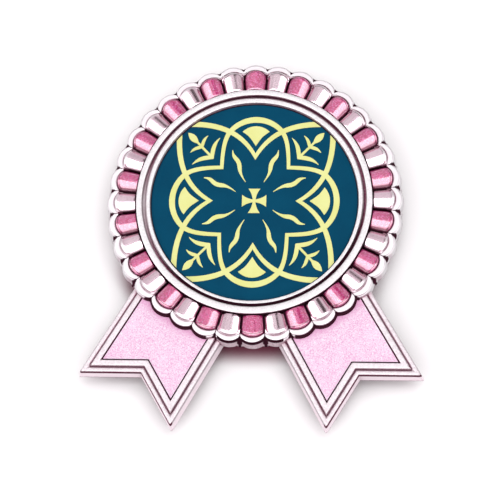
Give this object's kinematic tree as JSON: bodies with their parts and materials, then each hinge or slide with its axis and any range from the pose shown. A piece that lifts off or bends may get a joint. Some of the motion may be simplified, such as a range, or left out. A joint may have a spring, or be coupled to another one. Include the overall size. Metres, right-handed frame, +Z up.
{
  "type": "metal brooch",
  "caption": "Flat cast metal brooch: an award rosette with pleats round a decorated disc, and two swallowtail ribbon tails, on a pin bar.",
  "frame": {"origin": "on the surface that the brooch lies on, below the middle of its whole outline", "axes": "+Z up out of the face, +Y towards the top of the rosette and away from the tails, +X to the right seen from the front"},
  "size_m": [0.041, 0.046, 0.006],
  "materials": {
    "plated_metal": "polished silver plating on cast zinc alloy",
    "pleat_enamel": "glossy pink enamel",
    "tail_enamel": "pale pink pearly enamel with a fine sparkling grain",
    "insert": "smooth printed teal, satin",
    "print": "smooth printed pale yellow, satin",
    "pin_metal": "plain nickel-plated steel"
  },
  "bodies": {
    "root": {"casting": "plated_metal", "pleat_enamel_01": "pleat_enamel", "pleat_enamel_02": "pleat_enamel", "pleat_enamel_03": "pleat_enamel", "pleat_enamel_04": "pleat_enamel", "pleat_enamel_05": "pleat_enamel", "pleat_enamel_06": "pleat_enamel", "pleat_enamel_07": "pleat_enamel", "pleat_enamel_08": "pleat_enamel", "pleat_enamel_09": "pleat_enamel", "pleat_enamel_10": "pleat_enamel", "pleat_enamel_11": "pleat_enamel", "pleat_enamel_12": "pleat_enamel", "pleat_enamel_13": "pleat_enamel", "pleat_enamel_14": "pleat_enamel", "pleat_enamel_15": "pleat_enamel", "pleat_enamel_16": "pleat_enamel", "pleat_enamel_17": "pleat_enamel", "pleat_enamel_18": "pleat_enamel", "tail_enamel_left": "tail_enamel", "tail_enamel_right": "tail_enamel", "insert_disc": "insert", "ornament": "print", "pin_back": "pin_metal"}
  },
  "joints": []
}
